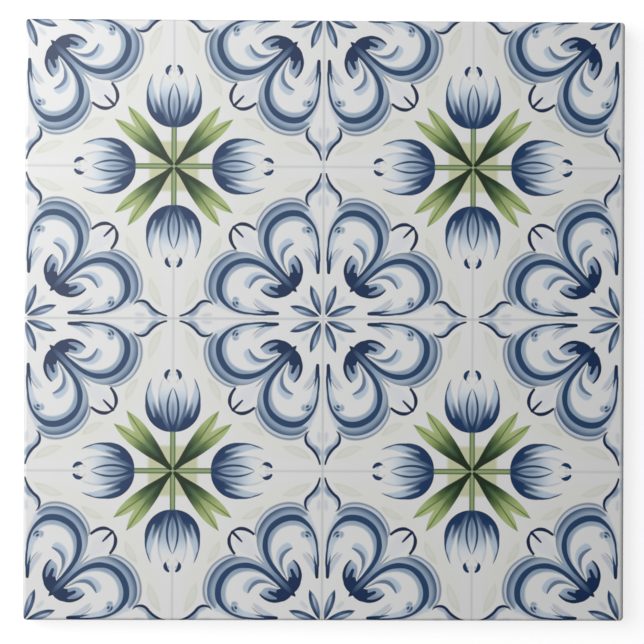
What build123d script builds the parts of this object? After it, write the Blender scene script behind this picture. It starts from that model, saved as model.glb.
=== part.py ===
"""Dust-pressed ceramic wall tile, lying glazed face up on its keyed back.

Millimetres, +Z up. The origin is the middle of the back, on the plane of its ribs.
"""

import math
import os

from build123d import *

# Overall size
SIDE = 152.0  # edge to edge across the face
THICKNESS = 6.5  # from the ribs of the back to the glazed face

# Edges
CORNER_RADIUS = 1.0  # the four upright corners, seen from above
FACE_ROUND = 0.8  # where the glaze rolls over the rim of the face
EDGE_LAND = 3.0  # upright part of each side, measured down from the face
SIDE_DRAFT = 3.0  # degrees that the side leans in below the land, so that the die lets go
BACK_ARRIS = 0.4  # height and width of the broken edge round the back

# Keyed back: a grid of shallow pockets that the adhesive fills
POCKETS_ACROSS = 8
RIB_WIDTH = 3.0  # between two pockets, on the plane of the back
BACK_BORDER = 6.0  # plain land outside the outermost pockets
POCKET_DEPTH = 0.7
POCKET_DRAFT = 35.0  # degrees that a pocket's walls lean, so that the punch lets go
POCKET_CORNER = 2.0  # cut off each corner of a pocket's mouth, so that clay doesn't tear there

# Worked out from the sizes above
land_foot = THICKNESS - EDGE_LAND
draft_inset = (land_foot - BACK_ARRIS) * math.tan(math.radians(SIDE_DRAFT))
back_inset = draft_inset + BACK_ARRIS
key_field = SIDE - 2 * (back_inset + BACK_BORDER)
pocket_pitch = (key_field + RIB_WIDTH) / POCKETS_ACROSS
pocket_side = pocket_pitch - RIB_WIDTH


def section(height, inset):
    """The tile's outline at a height, drawn in from its full size by an inset on every side."""
    side = SIDE - 2 * inset
    return Plane.XY.offset(height) * RectangleRounded(side, side, CORNER_RADIUS)


def pressed_body():
    """The plain slab: an upright land under the face, sides that lean in, and a broken arris at the back."""
    land = extrude(section(land_foot, 0), EDGE_LAND)
    land = fillet(land.faces().sort_by(Axis.Z)[-1].edges(), FACE_ROUND)
    drafted = loft([section(land_foot, 0), section(BACK_ARRIS, draft_inset)], ruled=True)
    arris = loft([section(BACK_ARRIS, draft_inset), section(0, back_inset)], ruled=True)
    return land + drafted + arris


def adhesive_keys():
    """The pockets of the back, as the punch presses them: wide at the mouth and narrower at the floor."""
    mouths = GridLocations(pocket_pitch, pocket_pitch, POCKETS_ACROSS, POCKETS_ACROSS)
    mouth = chamfer(Rectangle(pocket_side, pocket_side).vertices(), POCKET_CORNER)
    return mouths * extrude(mouth, POCKET_DEPTH, taper=POCKET_DRAFT)


def main():
    tile = pressed_body() - adhesive_keys()
    os.makedirs("parts", exist_ok=True)
    export_step(tile, "parts/tile.step")


main()
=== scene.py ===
"""Looks of the delft tile: a glazed face with its painted repeat, a biscuit back, floor, light and camera.

Metres, in the frame's own axes: +Z out of the glazed face, +X to the right and +Y up the picture.
"""

import math
from dataclasses import dataclass

import bmesh
import bpy
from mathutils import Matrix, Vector, noise


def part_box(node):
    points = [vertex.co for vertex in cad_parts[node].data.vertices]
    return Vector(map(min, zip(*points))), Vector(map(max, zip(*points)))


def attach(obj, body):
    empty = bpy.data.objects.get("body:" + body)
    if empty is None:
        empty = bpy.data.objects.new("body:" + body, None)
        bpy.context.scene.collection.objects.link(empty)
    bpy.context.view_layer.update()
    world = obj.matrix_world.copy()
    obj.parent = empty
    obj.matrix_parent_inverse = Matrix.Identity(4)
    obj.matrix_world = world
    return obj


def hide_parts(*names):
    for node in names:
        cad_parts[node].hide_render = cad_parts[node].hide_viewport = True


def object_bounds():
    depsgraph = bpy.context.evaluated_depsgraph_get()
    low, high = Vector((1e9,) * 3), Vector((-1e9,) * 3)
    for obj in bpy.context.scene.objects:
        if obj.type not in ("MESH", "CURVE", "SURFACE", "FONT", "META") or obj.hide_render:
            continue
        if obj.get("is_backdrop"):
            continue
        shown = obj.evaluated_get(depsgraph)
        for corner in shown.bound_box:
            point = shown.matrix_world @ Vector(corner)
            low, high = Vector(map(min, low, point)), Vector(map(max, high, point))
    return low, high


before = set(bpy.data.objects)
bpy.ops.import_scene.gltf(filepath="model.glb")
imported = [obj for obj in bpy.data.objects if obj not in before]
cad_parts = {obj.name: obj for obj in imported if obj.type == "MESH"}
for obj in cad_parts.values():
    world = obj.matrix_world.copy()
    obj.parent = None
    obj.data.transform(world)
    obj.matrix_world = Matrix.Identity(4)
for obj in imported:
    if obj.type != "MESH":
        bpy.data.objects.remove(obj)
cad_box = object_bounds()

MM = 0.001

# The tile's shape, as in its solid
lowest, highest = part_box("tile")
SIDE = highest[0] - lowest[0]
THICKNESS = highest[2] - lowest[2]
CORNER_RADIUS = 1.0 * MM
RIM_ROUND = 0.8 * MM
LAND_FOOT = 3.5 * MM  # height at which the upright land ends and the sides start to lean in
BACK_ARRIS = 0.4 * MM
SIDE_DRAFT = math.radians(3)
POCKETS_ACROSS = 8
RIB_WIDTH = 3.0 * MM
BACK_BORDER = 6.0 * MM
POCKET_DEPTH = 0.7 * MM
POCKET_DRAFT = math.radians(35)
POCKET_CORNER = 2.0 * MM

draft_inset = (LAND_FOOT - BACK_ARRIS) * math.tan(SIDE_DRAFT)
back_inset = draft_inset + BACK_ARRIS
pocket_pitch = (SIDE - 2 * (back_inset + BACK_BORDER) + RIB_WIDTH) / POCKETS_ACROSS
pocket_side = pocket_pitch - RIB_WIDTH

# How finely the mesh is drawn
CORNER_STEPS = 6
RIM_STEPS = 8
POCKET_STEPS = 4
LINES_EACH = POCKET_STEPS + 3  # mesh lines across one pocket: its two sides, and the ends of the steps
LINES_BEFORE = 2  # mesh lines outside the first pocket
SHARP_EDGE = math.radians(35)
SAME_PLACE = 0.001 * MM

# The glaze pools and thins a little over the face
GLAZE_WAVE = 0.03 * MM  # deepest dip below the true plane
GLAZE_WAVE_LENGTH = 26 * MM
GLAZE_WAVE_BORDER = 10 * MM  # within this of the edge the waves die out

# The bake's map: the face with the sides unfolded round it, and the back small beside it
FRONT_SHARE = 0.86
BACK_SHARE = 0.11
MAP_MARGIN = 0.01

# The repeat: a cell runs from a star to the next tulip cross, and every cell mirrors its neighbours
CELL_WIDTH = 37.875 * MM
CELL_HEIGHT = 38.5 * MM
STAR_X = -0.44 * MM  # the star nearest the middle of the tile
STAR_Y = 0.31 * MM

# Strokes run from LEAD to LEAD + RUN on their own scale, with room to close up at both ends
LEAD = 0.14
RUN = 0.72
TAIL = 0.006
FAR_TAIL = 4 * TAIL
END_POINTS = 3  # the last point of a profile and the two of the level stretch beyond it
CAP_STEPS = ((0.38, 0.92), (0.71, 0.71), (0.92, 0.38))  # out from a round end, and how wide, in half widths
CAP_ROOM = 0.1  # longest round end on that scale
CLOSED = -4  # half width beyond the ends, in the edge's softness, so that nothing shows there

# Softness of a stroke's edge, in cells
CRISP = 0.0025
SOFT = 0.008
FAINT = 0.014


def paint(red, green, blue):
    """A colour as light values, from the screen values that it is usually written in."""
    def light(value):
        value /= 255
        return value / 12.92 if value <= 0.04045 else ((value + 0.055) / 1.055) ** 2.4
    return (light(red), light(green), light(blue), 1.0)


# Glaze, clay and paint
GROUND = paint(224, 225, 225)
WARM_GROUND = paint(221, 222, 220)
CREAM = paint(222, 222, 214)
MILK = paint(222, 223, 220)
BISCUIT = paint(214, 200, 178)
BISCUIT_GRAIN = paint(194, 178, 154)
SEAM = paint(176, 178, 181)
GHOST = paint(210, 212, 202)
INK = paint(12, 35, 74)
DEEP = paint(11, 42, 82)
COBALT = paint(15, 50, 93)
NAVY = paint(31, 63, 101)
DENIM = paint(68, 92, 123)
STEEL = paint(78, 101, 131)
SLATE = paint(101, 121, 150)
DUSK = paint(122, 143, 171)
HAZE = paint(141, 161, 184)
MIST = paint(154, 172, 190)
SKY = paint(168, 184, 201)
ICE = paint(182, 197, 212)
FROST = paint(193, 204, 215)
SNOW = paint(213, 219, 224)
LAVENDER = paint(190, 194, 204)
PEARL = paint(214, 216, 222)
PEWTER = paint(126, 137, 152)
INDIGO = paint(50, 76, 110)
ZINC = paint(136, 146, 160)
SILVER = paint(140, 147, 157)
OLIVE = paint(194, 198, 163)
LIME = paint(165, 181, 119)
SPRING = paint(150, 167, 104)
MOSS = paint(88, 108, 62)
PINE = paint(45, 74, 44)
FOREST = paint(24, 44, 22)
SAGE = paint(146, 166, 121)
FERN = paint(140, 158, 96)
IVY = paint(82, 106, 61)
HOLLY = paint(36, 61, 36)
WILLOW = paint(176, 188, 134)
REED = paint(150, 168, 108)
CLOVER = paint(108, 134, 86)
CYPRESS = paint(62, 93, 64)
SPRUCE = paint(46, 72, 52)
TEAL = paint(118, 146, 136)


@dataclass
class Stroke:
    """A stroke along two points, which make it straight, or three, which make it an arc.

    Half widths and colours are spaced evenly along it. An end with some width is round, and a half width
    below zero lets a soft stroke fade out. Points are in cells, u to the right and v down, with the star at
    (0, 0) and the tulip cross at (1, 1). Only the half with v above u is drawn, and the rest mirrors it.
    """
    path: tuple
    half_widths: tuple
    colours: tuple
    soft: float = CRISP
    strength: float = 1.0


@dataclass
class Band:
    """Paint between two edges, each a smooth curve through points in cells and with its own softness."""
    low: tuple
    high: tuple
    colours: tuple
    soft_low: float = CRISP
    soft_high: float = CRISP
    strength: float = 1.0


# Fine soft lines where the cells meet
SEAMS = (
    Stroke(((0, 0), (0, 1)), (0.003, 0.003), (SEAM,), FAINT, 0.9),
    Stroke(((0, 1), (1, 1)), (0.003, 0.003), (SEAM,), FAINT, 0.7),
)

# Very pale leaves in the ground, which is warmer round them
GHOST_LEAVES = (
    Stroke(((0.08, 0.91), (0.36, 0.81), (0.64, 0.62)), (-0.04, 0.03, 0.05, 0.05, 0.05, -0.04),
           (CREAM,), 0.05, 0.6),
    Stroke(((0.06, 0.934), (0.165, 0.872), (0.285, 0.84)), (-SOFT, 0.02, 0.029, 0.02, -SOFT),
           (GHOST,), SOFT),
    Stroke(((0.09, 0.917), (0.165, 0.873), (0.265, 0.847)), (-SOFT, 0.012, 0.019, 0.012, -SOFT),
           (WARM_GROUND,), SOFT, 0.5),
    Stroke(((0.38, 0.78), (0.455, 0.722), (0.555, 0.682)), (-SOFT, 0.017, 0.025, 0.017, -SOFT),
           (GHOST,), SOFT),
    Stroke(((0.41, 0.76), (0.457, 0.724), (0.53, 0.693)), (-SOFT, 0.01, 0.016, 0.01, -SOFT),
           (WARM_GROUND,), SOFT, 0.5),
)

# Tulip stalks, green with darker edges
STALKS = (
    Stroke(((0.735, 1), (1, 1)), (0.018, 0.018), (MOSS,)),
    Stroke(((0.735, 1), (1, 1)), (0.0085, 0.0085), (SAGE,), 0.006),
)

# Forked leaf on the diagonal
LEAF = (
    Stroke(((0.745, 0.745), (0.985, 0.985)), (0.001, 0.02, 0.03, 0.026, 0.018, 0.008),
           (LIME, SPRING, PINE, FOREST, FOREST)),
    Stroke(((0.604, 0.69), (0.7777, 0.8222), (0.985, 0.99)),
           (0.0005, 0.0235, 0.0366, 0.0405, 0.0385, 0.0335, 0.0238, 0.014, 0.008),
           (SPRING, LIME, LIME, FERN, IVY, HOLLY, FOREST, FOREST, FOREST)),
    Stroke(((0.645, 0.702), (0.825, 0.82)), (-0.006, 0.011, 0.017, 0.02, 0.016, -0.006),
           (WILLOW, WILLOW, REED), 0.012, 0.6),
    Stroke(((0.775, 0.775), (0.93, 0.93)), (0.004, 0.017, 0.015, 0.01, -FAINT),
           (LIME, CLOVER, CYPRESS, SPRUCE), FAINT, 0.85),
    Stroke(((0.612, 0.697), (0.85, 0.86)), (0.002, 0.004, 0.004, -0.001), (MOSS, MOSS, PINE), 0.004),
)

# Star of eight narrow leaves
STAR = (
    Stroke(((0.085, 0.085), (0.155, 0.155)), (-FAINT, 0.012, 0.012, -FAINT), (LAVENDER,), FAINT, 0.7),
    Stroke(((0.018, 0.028), (0.0845, 0.2195)),
           (0.003, 0.009, 0.017, 0.0226, 0.026, 0.0256, 0.0215, 0.0128, 0.002),
           (INK, STEEL, STEEL, SLATE, SLATE, DUSK, HAZE, STEEL, INK)),
    Stroke(((0.026, 0.06), (0.0715, 0.192)), (-SOFT, 0.0045, 0.0065, 0.0075, 0.0095, 0.008, -SOFT),
           (SLATE, DUSK, SKY, SKY, MIST), 0.005),
    Stroke(((0.018, 0.03), (0.061, 0.11), (0.0835, 0.217)),
           (0.003, 0.0075, 0.009, 0.0105, 0.011, 0.0105, 0.01, 0.0075, 0.002),
           (INK, NAVY, DENIM, NAVY, DEEP)),
    Stroke(((0.0165, 0.035), (0.0255, 0.121), (0.08, 0.214)), (0.002, 0.0035, 0.0035, 0.0025, 0.002),
           (NAVY, STEEL, SLATE, DUSK, STEEL), 0.005),
)

# Acanthus lobe beside the stem, with its hook, teeth and beak
LOBE = (
    Stroke(((0.19, 0.285), (0.198, 0.412)), (0.033, 0.0365, 0.039, 0.041, 0.0395, 0.031, 0.006),
           (DUSK, HAZE, SKY), 0.006),
    Stroke(((0.185, 0.3), (0.167, 0.36), (0.195, 0.408)), (0.002, 0.01, 0.012, 0.01, 0.002),
           (DUSK, DUSK, HAZE), SOFT),
    Stroke(((0.178, 0.235), (0.1467, 0.325), (0.191, 0.4155)), (0.012, 0.012, 0.012, 0.0097, 0.0075, 0.004),
           (DEEP, DEEP, INK, INK, INK)),
    Stroke(((0.194, 0.203), (0.1835, 0.293)), (0.008, 0.024, 0.034, 0.041, 0.043, 0.0395), (DEEP,)),
    Stroke(((0.17, 0.26), (0.192, 0.321), (0.2045, 0.351)), (0.02, 0.0175, 0.0135, 0.01), (DEEP,)),
    Stroke(((0.212, 0.27), (0.2175, 0.301)), (0.018, 0.011, 0.005), (DEEP,)),
    Stroke(((0.1755, 0.1775), (0.213, 0.213)), (0.001, 0.0105, 0.0155, 0.014), (INK, INK, DEEP)),
)

# Stalk that the two scrolls share
SCROLL_STEM = (
    Stroke(((0.198, 0.198), (0.31, 0.31)), (0.006, 0.016, 0.021, 0.021, 0.021),
           (DEEP, INDIGO, STEEL, SLATE, DUSK)),
)

# Edges of the scroll's bands, from the stem round to the tip
SCROLL_CENTRE = (0.2, 0.5)
SCROLL_CUT = math.radians(-112)  # direction from the centre in which the scroll is open
SCROLL_LINING = (
    (0.285, 0.34), (0.31, 0.378), (0.3265, 0.41), (0.337, 0.45), (0.341, 0.5), (0.333, 0.545),
    (0.31, 0.59), (0.275, 0.622), (0.24, 0.637), (0.2, 0.6435), (0.165, 0.6405), (0.135, 0.629),
    (0.115, 0.613), (0.105, 0.595), (0.108, 0.57), (0.105, 0.552), (0.09, 0.535), (0.079, 0.51),
    (0.069, 0.475), (0.059, 0.44), (0.05, 0.415), (0.0445, 0.402), (0.039, 0.388),
)
SCROLL_INNER = (
    (0.1995, 0.235), (0.2242, 0.272), (0.2589, 0.3072), (0.2922, 0.3489), (0.3311, 0.4017),
    (0.3475, 0.435), (0.3585, 0.47), (0.3627, 0.51), (0.3605, 0.5547), (0.343, 0.596), (0.307, 0.6336),
    (0.2558, 0.6629), (0.2, 0.6745), (0.15, 0.667), (0.1, 0.635), (0.0705, 0.6), (0.052, 0.55),
    (0.0422, 0.503), (0.0367, 0.459), (0.035, 0.415), (0.0355, 0.37),
)
SCROLL_OUTER = (
    (0.1964, 0.2072), (0.2117, 0.2294), (0.2311, 0.2517), (0.2867, 0.3072), (0.3144, 0.3336),
    (0.3422, 0.3669), (0.3617, 0.3961), (0.387, 0.45), (0.399, 0.5), (0.3955, 0.55), (0.38, 0.6),
    (0.348, 0.65), (0.3, 0.688), (0.2507, 0.7092), (0.2, 0.7155), (0.1492, 0.7072), (0.1, 0.671),
    (0.0516, 0.6), (0.028, 0.503), (0.0211, 0.4367), (0.0218, 0.37),
)
SCROLL_MIDDLE = tuple(((a + c) / 2, (b + d) / 2) for (a, b), (c, d) in zip(SCROLL_INNER, SCROLL_OUTER))
SCROLL_LIGHT = (
    (0.25, 0.285), (0.3, 0.345), (0.345, 0.41), (0.375, 0.48), (0.378, 0.53), (0.36, 0.59),
    (0.32, 0.645), (0.26, 0.683), (0.2, 0.692), (0.16, 0.694), (0.13, 0.703), (0.096, 0.713),
)
SCROLL_SHADE = (
    (0.295, 0.25), (0.33, 0.305), (0.353, 0.341), (0.375, 0.379), (0.395, 0.413), (0.41, 0.442),
    (0.43, 0.492), (0.438, 0.55), (0.4315, 0.6), (0.4084, 0.6537), (0.3638, 0.7084), (0.3094, 0.7446),
    (0.26, 0.762), (0.21, 0.767), (0.1597, 0.76), (0.125, 0.74), (0.096, 0.714),
)
SCROLL_DUSK = (
    (0.392, 0.41), (0.412, 0.455), (0.422, 0.5), (0.4235, 0.545), (0.413, 0.595), (0.387, 0.645),
    (0.345, 0.693), (0.3, 0.722), (0.25, 0.74), (0.2, 0.744), (0.15, 0.735), (0.12, 0.722),
    (0.096, 0.708),
)
SCROLL_RIM = (
    (0.4375, 0.565), (0.4415, 0.5879), (0.4415, 0.6126), (0.4319, 0.6449), (0.413, 0.6787),
    (0.3643, 0.7347), (0.2982, 0.7697), (0.2248, 0.7834), (0.1853, 0.7796), (0.1522, 0.7713),
    (0.1265, 0.7562), (0.1083, 0.739), (0.092, 0.727),
)
SCROLL_EDGE = (
    (0.4385, 0.565), (0.4495, 0.585), (0.4522, 0.6045), (0.4437, 0.6429), (0.4213, 0.685),
    (0.386, 0.7296), (0.343, 0.762), (0.3, 0.7825), (0.252, 0.795), (0.2078, 0.7974), (0.164, 0.79),
    (0.138, 0.778), (0.118, 0.762), (0.104, 0.743),
)
SCROLL_WASH = (
    (0.2, 0.72), (0.13, 0.735), (0.093, 0.7215), (0.069, 0.674), (0.045, 0.62), (0.031, 0.567),
    (0.022, 0.5), (0.0195, 0.45),
)
SCROLL_BANDS = (
    Band(SCROLL_DUSK, SCROLL_EDGE, (PEWTER, PEWTER, ZINC), CRISP, 0.0065),
    Band(SCROLL_DUSK, SCROLL_RIM, (FROST,), CRISP, 0.0065),
    Band(SCROLL_INNER, SCROLL_WASH, (ICE, FROST, LAVENDER, LAVENDER, FROST), CRISP, FAINT),
    Band(SCROLL_LIGHT, SCROLL_SHADE, (SLATE, HAZE, MIST, SKY, MIST, HAZE, HAZE, MIST, MIST), SOFT, CRISP),
    Band(SCROLL_DUSK, SCROLL_SHADE,
         (PEWTER, PEWTER, PEWTER, DENIM, DENIM, DENIM, STEEL, STEEL, DENIM), 0.02, CRISP),
    Band(SCROLL_LINING, SCROLL_MIDDLE, (ICE, MIST, HAZE, MIST, MIST, SKY, FROST, ICE), SOFT, CRISP),
    Band(SCROLL_INNER, SCROLL_OUTER, (DEEP, NAVY, NAVY, NAVY, NAVY, NAVY, NAVY, DEEP)),
)

# The scroll's tip, and the curl like an eye
SCROLL_TIP = (
    Stroke(((0.048, 0.312), (0.08, 0.4), (0.145, 0.468)), (-0.002, 0.01, 0.0155, 0.016, 0.012, -SOFT),
           (MIST, ICE, LAVENDER, LAVENDER), SOFT, 0.9),
    Stroke(((0.055, 0.395), (0.076, 0.437), (0.122, 0.4755)), (0.003, 0.003, 0.0025, -0.002),
           (SLATE, PEWTER, PEWTER), 0.004),
    Stroke(((0.0415, 0.372), (0.0485, 0.408), (0.0585, 0.462)), (0.009, 0.0075, 0.0055, 0.003, -0.002),
           (NAVY, NAVY, STEEL, HAZE)),
    Stroke(((0.0355, 0.304), (0.0372, 0.377)), (0.0105, 0.0124, 0.013, 0.014, 0.015),
           (INK, DEEP, DEEP, NAVY)),
)
EYE = (
    Stroke(((0.085, 0.57), (0.13, 0.595)), (0.008, 0.017, 0.018, 0.014), (ICE, SKY, SKY), SOFT),
    Stroke(((0.109, 0.5605), (0.1335, 0.582), (0.122, 0.605)), (-SOFT, 0.005, 0.009, 0.0105, -SOFT),
           (SKY, HAZE, HAZE), SOFT, 0.9),
    Stroke(((0.0755, 0.57), (0.0865, 0.5905), (0.11, 0.6005)), (0.003, 0.005, 0.006, 0.007, 0.004),
           (STEEL, NAVY, NAVY), 0.005),
    Stroke(((0.09, 0.567), (0.1135, 0.5835)), (0.001, 0.0065, 0.0085, 0.0065, 0.001),
           (STEEL, NAVY, NAVY), 0.005),
)

# Crescent inside the scroll
CRESCENT_CENTRE = (0.2, 0.41)
CRESCENT_CUT = math.radians(194)
CRESCENT_INNER = (
    (0.2311, 0.2941), (0.25, 0.3345), (0.2595, 0.3565), (0.2641, 0.3929), (0.2622, 0.4226),
    (0.2538, 0.4414), (0.238, 0.462), (0.2195, 0.477), (0.1971, 0.4915),
)
CRESCENT_OUTER = (
    (0.2331, 0.2864), (0.2567, 0.3244), (0.2695, 0.3474), (0.2802, 0.3726), (0.287, 0.4004),
    (0.2868, 0.4275), (0.2762, 0.4545), (0.2549, 0.4763), (0.2321, 0.4894), (0.1969, 0.4975),
)
CRESCENT_LIGHT = (
    (0.25, 0.305), (0.274, 0.335), (0.292, 0.37), (0.304, 0.408), (0.3075, 0.44), (0.298, 0.477),
    (0.275, 0.507), (0.24, 0.5285), (0.213, 0.522), (0.198, 0.502),
)
CRESCENT_BANDS = (
    Band(CRESCENT_INNER, CRESCENT_LIGHT, (FROST, FROST, FROST, ICE, ICE, ICE), CRISP, SOFT),
    Band(CRESCENT_INNER, CRESCENT_OUTER, (PEWTER, PEWTER, SLATE, SLATE, SLATE, STEEL), CRISP, 0.005),
)

# Heart between the two scrolls: a pale fill, a blue ray with a grey one on it, an arched foot and a clapper
HEART_FILL = (
    Stroke(((0.41, 0.41), (0.58, 0.58)), (-FAINT, 0.02, 0.045, 0.05, -FAINT), (PEARL,), FAINT, 0.8),
    Stroke(((0.33, 0.33), (0.425, 0.425)), (0.012, 0.012, 0.009, -SOFT), (HAZE, MIST, SKY, SNOW), SOFT),
    Stroke(((0.38, 0.38), (0.46, 0.46)), (0.001, 0.004, 0.0045, 0.003, -0.004), (SILVER,), 0.005),
)
HEART_CENTRE = (0.52, 0.52)
HEART_CUT = math.radians(-135)
FOOT_INNER = (
    (0.6067, 0.5767), (0.6, 0.59), (0.596, 0.596), (0.59, 0.6), (0.5767, 0.6067), (0.56, 0.61),
    (0.5367, 0.61), (0.5167, 0.6067), (0.4933, 0.5983), (0.47, 0.584), (0.4565, 0.5735),
)
FOOT_OUTER = (
    (0.6185, 0.5867), (0.6055, 0.6055), (0.5867, 0.6185), (0.56, 0.6317), (0.537, 0.634),
    (0.5167, 0.631), (0.4933, 0.6217), (0.47, 0.6067), (0.449, 0.588),
)
HEART_BANDS = (
    Band(FOOT_INNER, FOOT_OUTER, (INK,)),
)
HEART_CLAPPER = (
    Stroke(((0.5365, 0.5365), (0.6, 0.6)), (0.005, 0.008, 0.009, 0.0105), (DEEP, INK, INK)),
)

# Curled bracket on the seam, with its blue shading
BRACKET = (
    Stroke(((0.028, 0.725), (0.02, 0.835)), (-FAINT, 0.01, 0.008, -FAINT), (LAVENDER,), FAINT, 0.8),
    Stroke(((0.1, 0.758), (0.0975, 0.797), (0.07, 0.833)), (-0.01, 0.011, 0.0145, 0.0145, 0.01),
           (ICE, SKY, SKY), 0.01),
    Stroke(((0.076, 0.829), (0.0435, 0.853), (0.022, 0.915)), (0.008, 0.014, 0.017, 0.014, -0.01),
           (SKY, HAZE, HAZE, SKY), 0.01),
    Stroke(((0, 0.82), (0, 0.98)), (-0.012, 0.006, 0.008, -0.012), (SKY,), 0.012),
    Stroke(((0.0875, 0.734), (0.115, 0.7832), (0.0905, 0.836)), (0.001, 0.006, 0.0085, 0.0095, 0.0095),
           (INK,)),
    Stroke(((0.0905, 0.836), (0.0425, 0.89), (0.0175, 0.955)), (0.0095, 0.0095, 0.009, 0.0075, 0.0055),
           (INK,)),
)

# Tulip, lying along the seam: outer petal, inner petal and the heart of the flower
TULIP_AXIS = ((0.32, 1), (0.76, 1))
PETAL_EDGE = (
    (0.394, 0.856), (0.42, 0.842), (0.45, 0.831), (0.487, 0.8205), (0.54, 0.8155), (0.6, 0.821),
    (0.647, 0.835), (0.685, 0.86), (0.715, 0.897), (0.735, 0.938), (0.744, 0.98),
)
PETAL_DARK = (
    (0.394, 0.859), (0.42, 0.8495), (0.45, 0.84), (0.487, 0.829), (0.51, 0.829), (0.54, 0.833),
    (0.577, 0.8435), (0.615, 0.859), (0.651, 0.8795), (0.662, 0.925), (0.7, 0.962), (0.744, 1.005),
)
PETAL_INSIDE = (
    (0.394, 0.858), (0.45, 0.857), (0.5, 0.868), (0.54, 0.882), (0.58, 0.8955), (0.62, 0.913),
    (0.645, 0.928), (0.68, 0.947), (0.744, 1),
)
INNER_EDGE = (
    (0.385, 0.942), (0.423, 0.921), (0.46, 0.908), (0.503, 0.903), (0.577, 0.915), (0.62, 0.926),
    (0.663, 0.942), (0.7, 0.963), (0.74, 0.99),
)
TULIP_MIDDLE = ((0.385, 1.01), (0.74, 1.01))
TULIP_BANDS = (
    Band(PETAL_EDGE, PETAL_INSIDE, (SNOW, ICE, ICE, SKY, MIST, SLATE, NAVY), CRISP, 0.006),
    Band(INNER_EDGE, TULIP_MIDDLE, (MILK, MILK, SNOW, FROST, SKY, MIST, HAZE, HAZE, DUSK), SOFT, CRISP),
    Band(PETAL_EDGE, PETAL_DARK, (NAVY, NAVY, NAVY, NAVY, COBALT, COBALT), CRISP, 0.005),
)
TULIP_STROKES = (
    Stroke(((0.56, 0.8165), (0.69, 0.8665), (0.7425, 0.975)), (0.001, 0.0025, 0.003, 0.003, 0.002),
           (INK,)),
    Stroke(((0.645, 0.885), (0.7, 0.955)), (-0.006, 0.014, 0.016, 0.008), (COBALT,), FAINT),
    Stroke(((0.53, 0.862), (0.6, 0.8825), (0.67, 0.912)), (-0.006, 0.007, 0.012, 0.0175, 0.026),
           (MIST, DUSK, STEEL, NAVY, COBALT), 0.006),
    Stroke(((0.585, 0.8985), (0.655, 0.922)), (-0.002, 0.0055, 0.006, 0.004), (ICE, DUSK, NAVY), 0.005),
    Stroke(((0.383, 0.941), (0.45, 0.9145), (0.54, 0.9095)), (-0.002, 0.004, 0.005, 0.004, -0.004),
           (LAVENDER,), SOFT),
    Stroke(((0.46, 0.909), (0.61, 0.9225), (0.735, 0.985)), (-SOFT, 0.004, 0.009, 0.01, 0.01, 0.011),
           (LAVENDER, HAZE, STEEL, STEEL, STEEL, NAVY), 0.006),
    Stroke(((0.5, 1), (0.72, 1)), (-SOFT, 0.006, 0.009, 0.01), (HAZE, SLATE, STEEL), SOFT),
    Stroke(((0.454, 0.998), (0.575, 0.9645), (0.735, 1.002)), (0.001, 0.006, 0.0075, 0.0105, 0.0125),
           (SLATE, NAVY, NAVY, COBALT)),
    Stroke(((0.398, 0.959), (0.428, 0.982)), (0.004, 0.004, -0.004), (LAVENDER,), SOFT),
    Stroke(((0.351, 0.981), (0.384, 0.972)), (-0.005, 0.006, -0.005), (SKY,), 0.006),
    Stroke(((0.342, 0.974), (0.363, 0.9565), (0.395, 0.9555)), (0.0085, 0.0115, 0.0135, 0.0125, 0.006),
           (COBALT,)),
    Stroke(((0.736, 0.998), (0.757, 1)), (-SOFT, 0.007, -SOFT), (TEAL,), SOFT, 0.7),
)


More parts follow.
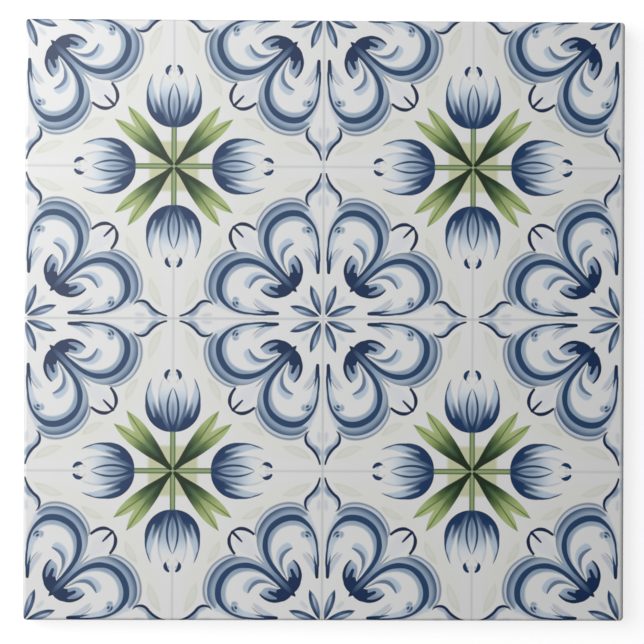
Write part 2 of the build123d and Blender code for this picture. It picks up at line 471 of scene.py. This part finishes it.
class Graph:
    """Short ways to add shader nodes, each linked as soon as it is made."""

    def __init__(self, tree):
        self.tree = tree

    def plug(self, socket, value):
        """Links a socket to an output, or sets it to a plain value."""
        if isinstance(value, bpy.types.NodeSocket):
            self.tree.links.new(value, socket)
        else:
            socket.default_value = value

    def node(self, kind, inputs=(), **settings):
        made = self.tree.nodes.new(kind)
        for name, value in settings.items():
            setattr(made, name, value)
        for socket, value in zip(made.inputs, inputs):
            self.plug(socket, value)
        return made

    def math(self, operation, *inputs):
        return self.node("ShaderNodeMath", inputs, operation=operation).outputs[0]

    def away(self, vector, place):
        return self.node("ShaderNodeVectorMath", (vector, place), operation="SUBTRACT").outputs["Vector"]

    def length(self, vector):
        return self.node("ShaderNodeVectorMath", (vector,), operation="LENGTH").outputs["Value"]

    def dot(self, vector, direction):
        made = self.node("ShaderNodeVectorMath", (vector, direction), operation="DOT_PRODUCT")
        return made.outputs["Value"]

    def rise(self, value, low, high, top=1.0):
        """Goes smoothly from 0 to top as the value goes from low to high."""
        inputs = (value, low, high, 0.0, top)
        return self.node("ShaderNodeMapRange", inputs, interpolation_type="SMOOTHSTEP").outputs["Result"]

    def curve(self, factor, points):
        """A smooth curve through points, straight between the few at each end and level beyond them."""
        made = self.node("ShaderNodeFloatCurve", (1.0, factor))
        mapping = made.mapping
        mapping.use_clip = False
        mapping.extend = "HORIZONTAL"
        line = mapping.curves[0]
        line.points[0].location = points[0]
        line.points[-1].location = points[-1]
        for place in points[1:-1]:
            line.points.new(*place)
        for k, point in enumerate(line.points):
            near_end = min(k, len(points) - 1 - k) < END_POINTS
            point.handle_type = "VECTOR" if near_end else "AUTO_CLAMPED"
        mapping.update()
        return made.outputs[0]

    def ramp(self, factor, colours, start, run):
        """Colours spaced evenly along a run, or the colour itself where there is only one."""
        if len(colours) == 1:
            return colours[0]
        made = self.node("ShaderNodeValToRGB", (factor,))
        stops = made.color_ramp.elements
        stops[0].position = start
        stops[0].color = colours[0]
        stops[1].position = start + run
        stops[1].color = colours[-1]
        for k, colour in enumerate(colours[1:-1], 1):
            stops.new(start + run * k / (len(colours) - 1)).color = colour
        return made.outputs["Color"]

    def mix(self, factor, under, over):
        """Mixes two colours. The node has a pair of inputs for each kind of value, so they go by number."""
        made = self.node("ShaderNodeMix", data_type="RGBA")
        self.plug(made.inputs[0], factor)
        self.plug(made.inputs[6], under)
        self.plug(made.inputs[7], over)
        return made.outputs[2]

    def blend(self, factor, under, over):
        """Mixes two plain numbers."""
        made = self.node("ShaderNodeMix", (factor,))
        self.plug(made.inputs[2], under)
        self.plug(made.inputs[3], over)
        return made.outputs[0]

    def noise(self, vector, size, detail=2.0):
        """Cloudy noise from 0 to 1 whose lumps are about one size across."""
        made = self.node("ShaderNodeTexNoise")
        self.plug(made.inputs["Vector"], vector)
        made.inputs["Scale"].default_value = 1 / size
        made.inputs["Detail"].default_value = detail
        return made.outputs["Fac"]


def flat(point):
    """A point of the cell as a vector."""
    return Vector((point[0], point[1], 0))


class LineWay:
    """A straight way through the cell: how far along it each point is, and how far to its side."""

    def __init__(self, graph, point, start, end):
        run = flat(end) - flat(start)
        self.origin = flat(start) - run * (LEAD / RUN)
        self.forward = run * (RUN / run.length_squared)
        self.side = Vector((-run.y, run.x, 0)).normalized()
        self.length = run.length
        away = graph.away(point, self.origin)
        self.along = graph.dot(away, self.forward)
        self.off = graph.dot(away, self.side)

    def place(self, point):
        away = flat(point) - self.origin
        return away.dot(self.forward), away.dot(self.side)


class ArcWay:
    """An arc through three points: how far round it each point is, and how far outside it."""

    def __init__(self, graph, point, start, middle, end):
        centre = self.centre_of(flat(start), flat(middle), flat(end))
        first, through, last = (math.atan2(p[1] - centre.y, p[0] - centre.x) for p in (start, middle, end))
        turn = math.tau
        sweep = (last - first) % turn
        if (through - first) % turn > sweep:
            sweep -= turn
        half_way = first + sweep / 2
        ahead = Vector((math.cos(half_way), math.sin(half_way), 0))
        side = Vector((-ahead.y, ahead.x, 0)) * math.copysign(1, sweep)
        away = graph.away(point, centre)
        angle = graph.math("ARCTAN2", graph.dot(away, side), graph.dot(away, ahead))
        radius = (flat(start) - centre).length
        self.length = radius * abs(sweep)
        self.along = graph.math("MULTIPLY_ADD", angle, RUN / abs(sweep), LEAD + RUN / 2)
        self.off = graph.math("SUBTRACT", graph.length(away), radius)

    @staticmethod
    def centre_of(a, b, c):
        """Centre of the circle through three points."""
        ab, ac = b - a, c - a
        twice_area = 2 * (ab.x * ac.y - ab.y * ac.x)
        x = (ac.y * ab.length_squared - ab.y * ac.length_squared) / twice_area
        y = (ab.x * ac.length_squared - ac.x * ab.length_squared) / twice_area
        return a + Vector((x, y, 0))


class RoundWay:
    """All the way round a centre, open in one direction: the angle from there and the distance out."""

    def __init__(self, graph, point, centre, cut):
        self.centre = flat(centre)
        self.ahead = Vector((-math.cos(cut), -math.sin(cut), 0))
        self.side = Vector((-self.ahead.y, self.ahead.x, 0))
        away = graph.away(point, self.centre)
        angle = graph.math("ARCTAN2", graph.dot(away, self.side), graph.dot(away, self.ahead))
        self.along = graph.math("MULTIPLY_ADD", angle, 1 / math.tau, 0.5)
        self.off = graph.length(away)

    def place(self, point):
        away = flat(point) - self.centre
        return 0.5 + math.atan2(away.dot(self.side), away.dot(self.ahead)) / math.tau, away.length


def round_off(profile, scale):
    """A profile of half widths with round ends, where the scale turns a half width into a length along it."""
    (start, first), (end, last) = profile[0], profile[-1]
    head = [(start - min(first * scale, CAP_ROOM) * out, first * wide) for out, wide in reversed(CAP_STEPS)]
    tail = [(end + min(last * scale, CAP_ROOM) * out, last * wide) for out, wide in CAP_STEPS]
    return [*(head if first > 0 else []), *profile, *(tail if last > 0 else [])]


def with_ends(profile, before, after):
    """A profile with a level stretch just beyond each end."""
    start, end = profile[0][0], profile[-1][0]
    lead_in = [(start - FAR_TAIL, before), (start - TAIL, before)]
    run_out = [(end + TAIL, after), (end + FAR_TAIL, after)]
    return [*lead_in, *profile, *run_out]


def trimmed(edge, start, end):
    """The part of an edge from start to end, cut straight between its points."""
    def level(along):
        for (x0, y0), (x1, y1) in zip(edge, edge[1:]):
            if x0 <= along <= x1:
                return y0 + (y1 - y0) * (along - x0) / (x1 - x0)
    inside = [place for place in edge if start < place[0] < end]
    return [(start, level(start)), *inside, (end, level(end))]


class Brush:
    """Lays coats of paint over one another, in the cell's own units."""

    def __init__(self, graph, point, ground):
        self.graph = graph
        self.point = point
        self.coat = ground

    def lay(self, mask, colour):
        self.coat = self.graph.mix(mask, self.coat, colour)

    def stroke(self, stroke):
        way_kind = LineWay if len(stroke.path) == 2 else ArcWay
        way = way_kind(self.graph, self.point, *stroke.path)
        last = len(stroke.half_widths) - 1
        profile = [(LEAD + RUN * k / last, width) for k, width in enumerate(stroke.half_widths)]
        closed = CLOSED * stroke.soft
        profile = with_ends(round_off(profile, RUN / way.length), closed, closed)
        half_width = self.graph.curve(way.along, profile)
        inside = self.graph.math("SUBTRACT", half_width, self.graph.math("ABSOLUTE", way.off))
        mask = self.graph.rise(inside, -stroke.soft, stroke.soft, stroke.strength)
        self.lay(mask, self.graph.ramp(way.along, stroke.colours, LEAD, RUN))

    def band(self, way, band):
        """Paints between the two edges of a band. They cross just beyond both ends, which closes it there."""
        low = [way.place(point) for point in band.low]
        high = [way.place(point) for point in band.high]
        start = max(low[0][0], high[0][0])
        end = min(low[-1][0], high[-1][0])
        low = trimmed(low, start, end)
        high = trimmed(high, start, end)
        first = (low[0][1] + high[0][1]) / 2
        last = (low[-1][1] + high[-1][1]) / 2
        shift = CLOSED * max(band.soft_low, band.soft_high)
        low = with_ends(low, first - shift, last - shift)
        high = with_ends(high, first + shift, last + shift)
        above = self.graph.math("SUBTRACT", way.off, self.graph.curve(way.along, low))
        below = self.graph.math("SUBTRACT", self.graph.curve(way.along, high), way.off)
        above = self.graph.rise(above, -band.soft_low, band.soft_low, band.strength)
        below = self.graph.rise(below, -band.soft_high, band.soft_high)
        mask = self.graph.math("MULTIPLY", above, below)
        self.lay(mask, self.graph.ramp(way.along, band.colours, start, end - start))

    def bands(self, way, bands):
        for band in bands:
            self.band(way, band)


def cell_point(graph, position):
    """Where a point of the face lies in its cell, folded so that only half a cell has to be drawn."""
    parts = graph.node("ShaderNodeSeparateXYZ", (position,)).outputs
    across = graph.math("MULTIPLY_ADD", parts["X"], 1 / CELL_WIDTH, -STAR_X / CELL_WIDTH)
    up = graph.math("MULTIPLY_ADD", parts["Y"], 1 / CELL_HEIGHT, -STAR_Y / CELL_HEIGHT)
    across = graph.math("PINGPONG", across, 1.0)
    up = graph.math("PINGPONG", up, 1.0)
    nearer = graph.math("MINIMUM", across, up)
    further = graph.math("MAXIMUM", across, up)
    return graph.node("ShaderNodeCombineXYZ", (nearer, further, 0.0)).outputs[0], nearer


SQUARE_HALF = 0.164  # half the olive square behind the tulip cross, in cells
CLOUD_SIZE = 14 * MM  # of the warmer and cooler parts of the ground


def painted_face(graph, position):
    """The colour of the glazed face: a pale ground and the painted repeat over it."""
    clouds = graph.noise(position, CLOUD_SIZE)
    ground = graph.mix(clouds, GROUND, WARM_GROUND)
    point, nearer = cell_point(graph, position)
    brush = Brush(graph, point, ground)
    for stroke in (*SEAMS, *GHOST_LEAVES):
        brush.stroke(stroke)
    brush.lay(graph.rise(nearer, 1 - SQUARE_HALF - FAINT, 1 - SQUARE_HALF + FAINT), OLIVE)
    for stroke in (*STALKS, *LEAF, *STAR, *HEART_FILL, *LOBE, *SCROLL_STEM):
        brush.stroke(stroke)
    brush.bands(RoundWay(graph, point, SCROLL_CENTRE, SCROLL_CUT), SCROLL_BANDS)
    for stroke in (*SCROLL_TIP, *EYE):
        brush.stroke(stroke)
    brush.bands(RoundWay(graph, point, CRESCENT_CENTRE, CRESCENT_CUT), CRESCENT_BANDS)
    brush.bands(RoundWay(graph, point, HEART_CENTRE, HEART_CUT), HEART_BANDS)
    for stroke in (*HEART_CLAPPER, *BRACKET):
        brush.stroke(stroke)
    brush.bands(LineWay(graph, point, *TULIP_AXIS), TULIP_BANDS)
    for stroke in TULIP_STROKES:
        brush.stroke(stroke)
    return brush.coat


PRINT_FOOT = THICKNESS - 0.45 * MM  # the print ends part way down the rounded rim
PRINT_FADE = 0.1 * MM
GLAZE_FOOT = 3.1 * MM  # the glaze ends on the side, in a wavering line
GLAZE_FADE = 0.08 * MM
WAVER_HEIGHT = 0.9 * MM
WAVER_SIZE = 9 * MM
GLAZE_ROUGHNESS = 0.38
ROUGHNESS_SWING = 0.06
ROUGHNESS_SIZE = 6 * MM
BISCUIT_ROUGHNESS = 0.85
GRAIN_SIZE = 0.5 * MM
GRAIN_DETAIL = 4.0
GRAIN_PALE = 0.45  # noise up to which the biscuit is pale, and from which it is dark
GRAIN_DARK = 0.7
PEEL_SIZE = 2.5 * MM  # of the glaze's faint orange peel
PEEL_DETAIL = 1.0
PEEL_SHARE = 0.35  # of the biscuit's relief
RELIEF_STRENGTH = 0.35
RELIEF_DEPTH = 0.06 * MM


def tile_material():
    """Satin glaze over the painted face, rim and land, and bare biscuit below it and on the back."""
    material = bpy.data.materials.new("glazed_tile")
    material.use_nodes = True
    tree = material.node_tree
    graph = Graph(tree)
    shader = tree.nodes["Principled BSDF"]
    position = graph.node("ShaderNodeTexCoord").outputs["Object"]
    height = graph.node("ShaderNodeSeparateXYZ", (position,)).outputs["Z"]

    face = painted_face(graph, position)
    printed = graph.rise(height, PRINT_FOOT - PRINT_FADE, PRINT_FOOT + PRINT_FADE)
    glaze = graph.mix(printed, GROUND, face)

    grain = graph.noise(position, GRAIN_SIZE, GRAIN_DETAIL)
    clay = graph.mix(graph.rise(grain, GRAIN_PALE, GRAIN_DARK), BISCUIT, BISCUIT_GRAIN)
    waves = graph.noise(position, WAVER_SIZE)
    waver = graph.math("MULTIPLY_ADD", waves, WAVER_HEIGHT, -WAVER_HEIGHT / 2)
    line = graph.math("ADD", height, waver)
    glazed = graph.rise(line, GLAZE_FOOT - GLAZE_FADE, GLAZE_FOOT + GLAZE_FADE)
    graph.plug(shader.inputs["Base Color"], graph.mix(glazed, clay, glaze))

    breath = graph.noise(position, ROUGHNESS_SIZE)
    satin = graph.math("MULTIPLY_ADD", breath, ROUGHNESS_SWING, GLAZE_ROUGHNESS - ROUGHNESS_SWING / 2)
    graph.plug(shader.inputs["Roughness"], graph.blend(glazed, BISCUIT_ROUGHNESS, satin))

    peel = graph.noise(position, PEEL_SIZE, PEEL_DETAIL)
    relief = graph.blend(glazed, grain, graph.math("MULTIPLY", peel, PEEL_SHARE))
    bump = graph.node("ShaderNodeBump")
    bump.inputs["Strength"].default_value = RELIEF_STRENGTH
    bump.inputs["Distance"].default_value = RELIEF_DEPTH
    graph.plug(bump.inputs["Height"], relief)
    graph.plug(shader.inputs["Normal"], bump.outputs["Normal"])
    return material


def mesh_lines(end):
    """Where mesh lines cross the tile: at pockets' edges and cut corners, between them, and at the ends."""
    half = pocket_side / 2
    inner = half - POCKET_CORNER
    steps = [-half, *(inner * (2 * k / POCKET_STEPS - 1) for k in range(POCKET_STEPS + 1)), half]
    places = []
    for pocket in range(POCKETS_ACROSS):
        middle = (pocket - (POCKETS_ACROSS - 1) / 2) * pocket_pitch
        places += [middle + step for step in steps]
    border = (places[-1] + end) / 2
    return [-end, -border, *places, border, end]


def outline(half, radius):
    """A rounded square, counter-clockwise from the foot of its right side, with a point per mesh line."""
    end = half - radius
    quarter = [(half, place) for place in mesh_lines(end)]
    for k in range(1, CORNER_STEPS):
        angle = math.pi / 2 * k / CORNER_STEPS
        quarter.append((end + radius * math.cos(angle), end + radius * math.sin(angle)))
    points = []
    for _ in range(4):
        points += quarter
        quarter = [(-y, x) for x, y in quarter]
    return points


def border_of(grid):
    """A grid's outer corners in the order of an outline, whose rounded corners shrink to a point each."""
    last = len(grid) - 1
    sides = (
        [grid[last][j] for j in range(last + 1)],
        [grid[i][last] for i in range(last, -1, -1)],
        [grid[0][j] for j in range(last, -1, -1)],
        [grid[i][0] for i in range(last + 1)],
    )
    corners = []
    for side in sides:
        corners += side + [side[-1]] * (CORNER_STEPS - 1)
    return corners


def bridge(mesh, first, second):
    """Faces between two rings. Where one ring holds a corner more than once they close up as triangles."""
    made = []
    for k in range(len(first)):
        corners = dict.fromkeys((first[k - 1], second[k - 1], second[k], first[k]))
        if len(corners) > 2:
            made.append(mesh.faces.new(corners))
    return made


def glaze_dip(x, y):
    """How far the glaze lies below the true plane of the face."""
    inset = SIDE / 2 - max(abs(x), abs(y))
    calm = min(inset / GLAZE_WAVE_BORDER, 1)
    wave = noise.noise(Vector((x, y, 0)) / GLAZE_WAVE_LENGTH) / 2 + 0.5
    return GLAZE_WAVE * wave * calm


def face_grid(mesh):
    """The glazed face inside its rounded rim."""
    lines = mesh_lines(SIDE / 2 - CORNER_RADIUS)
    grid = [[mesh.verts.new((x, y, THICKNESS - glaze_dip(x, y))) for y in lines] for x in lines]
    for i in range(len(lines) - 1):
        for j in range(len(lines) - 1):
            mesh.faces.new((grid[i][j], grid[i + 1][j], grid[i + 1][j + 1], grid[i][j + 1]))
    return grid


def side_rings():
    """Half size, corner radius and height of each ring, from the face over the rim and down to the back."""
    half = SIDE / 2
    rings = []
    for k in range(RIM_STEPS + 1):
        angle = math.pi / 2 * k / RIM_STEPS
        inset = RIM_ROUND * (1 - math.sin(angle))
        rings.append((half - inset, CORNER_RADIUS - inset, THICKNESS - RIM_ROUND * (1 - math.cos(angle))))
    rings.append((half, CORNER_RADIUS, LAND_FOOT))
    rings.append((half - draft_inset, CORNER_RADIUS, BACK_ARRIS))
    rings.append((half - back_inset, CORNER_RADIUS, 0))
    return rings


def pocket_of(place):
    """The pocket that a mesh line of the back belongs to and its number within it, or None outside them."""
    pocket, number = divmod(place - LINES_BEFORE, LINES_EACH)
    if 0 <= pocket < POCKETS_ACROSS:
        return pocket, number
    return None


def back_grid(mesh):
    """The plane of the back's ribs, open at the pockets' mouths."""
    lines = mesh_lines(SIDE / 2 - back_inset - CORNER_RADIUS)
    last_number = LINES_EACH - 1
    corner_cells = (0, last_number - 1)
    used = {}

    def corner(i, j):
        if (i, j) not in used:
            used[i, j] = mesh.verts.new((lines[i], lines[j], 0))
        return used[i, j]

    faces = []
    for i in range(len(lines) - 1):
        for j in range(len(lines) - 1):
            cell = [(i, j), (i, j + 1), (i + 1, j + 1), (i + 1, j)]
            column, row = pocket_of(i), pocket_of(j)
            in_mouth = column and row and column[1] < last_number and row[1] < last_number
            if in_mouth:
                if column[1] not in corner_cells or row[1] not in corner_cells:
                    continue
                inner = (i + (column[1] == 0), j + (row[1] == 0))
                cell.remove(inner)
            faces.append(mesh.faces.new([corner(*place) for place in cell]))
    return faces, used, lines


def pocket_mouths():
    """The mesh lines round each pocket's mouth, clockwise seen from above."""
    last = LINES_EACH - 1
    ahead = range(1, last)
    back = range(last - 1, 0, -1)
    walk = [(0, k) for k in ahead] + [(k, last) for k in ahead]
    walk += [(last, k) for k in back] + [(k, 0) for k in back]
    for column in range(POCKETS_ACROSS):
        for row in range(POCKETS_ACROSS):
            first_across = LINES_BEFORE + column * LINES_EACH
            first_along = LINES_BEFORE + row * LINES_EACH
            yield [(first_across + i, first_along + j) for i, j in walk]


def press_pockets(mesh, used, lines):
    """Leaning walls and flat floors of the pockets."""
    half = pocket_side / 2
    lean = POCKET_DEPTH * math.tan(POCKET_DRAFT)
    floor_cut = POCKET_CORNER - lean * (2 - math.sqrt(2))
    squeeze = (half - lean - floor_cut) / (half - POCKET_CORNER)
    faces = []
    for mouth in pocket_mouths():
        across = [lines[i] for i, _ in mouth]
        along = [lines[j] for _, j in mouth]
        middle = Vector(((min(across) + max(across)) / 2, (min(along) + max(along)) / 2, 0))
        rim = [used[place] for place in mouth]
        floor = []
        for corner in rim:
            spot = corner.co - middle
            for axis in range(2):
                on_side = abs(abs(spot[axis]) - half) < SAME_PLACE
                spot[axis] *= (half - lean) / half if on_side else squeeze
            floor.append(mesh.verts.new(middle + Vector((spot.x, spot.y, POCKET_DEPTH))))
        for k in range(len(rim)):
            faces.append(mesh.faces.new((rim[k - 1], rim[k], floor[k], floor[k - 1])))
        faces.append(mesh.faces.new(floor))
    return faces


def lay_out_map(mesh, spread, back_faces):
    """Places on the bake's map: the face with its sides unfolded round it, and the back beside it."""
    layer = mesh.loops.layers.uv.new("OFBake")
    reach = max(max(abs(x), abs(y)) for x, y in spread.values())
    back_middle = 1 - MAP_MARGIN - BACK_SHARE / 2
    front_middle = MAP_MARGIN + FRONT_SHARE / 2
    on_back = set(back_faces)
    for face in mesh.faces:
        for loop in face.loops:
            if face in on_back:
                place = Vector((-loop.vert.co.x, loop.vert.co.y)) / SIDE * BACK_SHARE
                loop[layer].uv = place + Vector((back_middle, back_middle))
            else:
                place = Vector(spread[loop.vert]) / (2 * reach) * FRONT_SHARE
                loop[layer].uv = place + Vector((front_middle, front_middle))


def add_object(name, mesh, material):
    """Turns a finished mesh into a smooth-shaded object of the scene."""
    for face in mesh.faces:
        face.smooth = True
    data = bpy.data.meshes.new(name)
    mesh.to_mesh(data)
    mesh.free()
    data.materials.append(material)
    made = bpy.data.objects.new(name, data)
    bpy.context.scene.collection.objects.link(made)
    return made


def make_tile():
    """The tile's skin: face, rounded rim, sides, and the keyed back with its pockets."""
    mesh = bmesh.new()
    grid = face_grid(mesh)
    spread = {corner: corner.co.xy for column in grid for corner in column}
    ring = border_of(grid)
    unfolded = 0
    before = (SIDE / 2 - CORNER_RADIUS, THICKNESS)
    for half, radius, height in side_rings():
        unfolded += math.dist(before, (half, height))
        before = (half, height)
        flat_half = SIDE / 2 - CORNER_RADIUS + unfolded
        corners = [mesh.verts.new((x, y, height)) for x, y in outline(half, radius)]
        spread.update(zip(corners, outline(flat_half, unfolded)))
        bridge(mesh, ring, corners)
        ring = corners
    back_faces, used, lines = back_grid(mesh)
    last = len(lines)
    back_border = border_of([[used.get((i, j)) for j in range(last)] for i in range(last)])
    back_faces += bridge(mesh, ring, back_border)
    back_faces += press_pockets(mesh, used, lines)
    mesh.normal_update()
    lay_out_map(mesh, spread, back_faces)
    for edge in mesh.edges:
        edge.smooth = edge.calc_face_angle(0) < SHARP_EDGE
    tile = add_object("tile_skin", mesh, tile_material())
    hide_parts("tile")
    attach(tile, "root")


FLOOR_RADIUS = 2.0  # flat part of the sweep, which then curves up to a wall
FLOOR_DISC = 1.0  # radius of the one face in its middle
SWEEP_RADIUS = 1.0
WALL_HEIGHT = 1.3
SWEEP_STEPS = 12
SWEEP_SEGMENTS = 96
FLOOR_GLOW = 0.8  # of the white that the camera sees; the rest is lit, and carries the shadow
FLOOR_LIT = 0.28


def make_floor():
    """A plain white studio sweep, floor and wall in one, that still takes the tile's shadow."""
    material = bpy.data.materials.new("floor")
    material.use_nodes = True
    graph = Graph(material.node_tree)
    material.node_tree.nodes.remove(material.node_tree.nodes["Principled BSDF"])
    rays = graph.node("ShaderNodeLightPath").outputs
    seen = graph.math("MAXIMUM", rays["Is Camera Ray"], rays["Is Glossy Ray"])
    seen = graph.math("MAXIMUM", seen, rays["Is Transmission Ray"])
    glow = graph.node("ShaderNodeEmission", ((1, 1, 1, 1), graph.math("MULTIPLY", seen, FLOOR_GLOW)))
    lit = graph.node("ShaderNodeBsdfDiffuse", ((FLOOR_LIT, FLOOR_LIT, FLOOR_LIT, 1),))
    both = graph.node("ShaderNodeAddShader", (glow.outputs[0], lit.outputs[0]))
    graph.plug(material.node_tree.nodes["Material Output"].inputs["Surface"], both.outputs[0])

    profile = [(FLOOR_DISC, 0)]
    for k in range(SWEEP_STEPS + 1):
        angle = math.pi / 2 * k / SWEEP_STEPS
        profile.append((FLOOR_RADIUS + SWEEP_RADIUS * math.sin(angle), SWEEP_RADIUS * (1 - math.cos(angle))))
    profile.append((FLOOR_RADIUS + SWEEP_RADIUS, WALL_HEIGHT))
    mesh = bmesh.new()
    rings = []
    for radius, height in profile:
        turns = [math.tau * k / SWEEP_SEGMENTS for k in range(SWEEP_SEGMENTS)]
        rings.append([mesh.verts.new((radius * math.cos(t), radius * math.sin(t), height)) for t in turns])
    mesh.faces.new(rings[0])
    for inner, outer in zip(rings, rings[1:]):
        bridge(mesh, inner, outer)
    floor = add_object("floor", mesh, material)
    floor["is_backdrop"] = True


def add_panel(name, place, side, power):
    """A soft square studio light that faces the middle of the tile's back."""
    lamp = bpy.data.lights.new(name, "AREA")
    lamp.shape = "RECTANGLE"
    lamp.size = side
    lamp.size_y = side
    lamp.energy = power
    panel = bpy.data.objects.new(name, lamp)
    panel.location = place
    panel.rotation_euler = (-panel.location).to_track_quat("-Z", "Y").to_euler()
    bpy.context.scene.collection.objects.link(panel)


KEY_PLACE = (-0.37, 0.175, 0.48)
KEY_SIDE = 0.6
KEY_POWER = 5.58
WORLD_LEVEL = 0.05


def make_light():
    """Soft window-like light from the left, and an even world."""
    add_panel("key", KEY_PLACE, KEY_SIDE, KEY_POWER)
    world = bpy.data.worlds.new("studio")
    world.use_nodes = True
    background = world.node_tree.nodes["Background"]
    background.inputs["Color"].default_value = (1, 1, 1, 1)
    background.inputs["Strength"].default_value = WORLD_LEVEL
    bpy.context.scene.world = world


CAMERA_LENS = 100  # millimetres, on a 36 mm sensor
CAMERA_PLACE = (-7.44 * MM, -2.24 * MM, 459.1 * MM)
CAMERA_TURN = (0.224, -0.85, 0.234)  # degrees away from looking straight down


def make_camera():
    """Looks down on the tile, almost square on, as the photo does."""
    data = bpy.data.cameras.new("camera")
    data.lens = CAMERA_LENS
    camera = bpy.data.objects.new("camera", data)
    camera.location = CAMERA_PLACE
    camera.rotation_euler = [math.radians(turn) for turn in CAMERA_TURN]
    bpy.context.scene.collection.objects.link(camera)
    bpy.context.scene.camera = camera


make_tile()
make_floor()
make_light()
make_camera()
bpy.context.scene.view_settings.view_transform = "Standard"

boxes = {"cad": cad_box, "visual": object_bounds()}
{name: [list(corner) for corner in box] for name, box in boxes.items()}
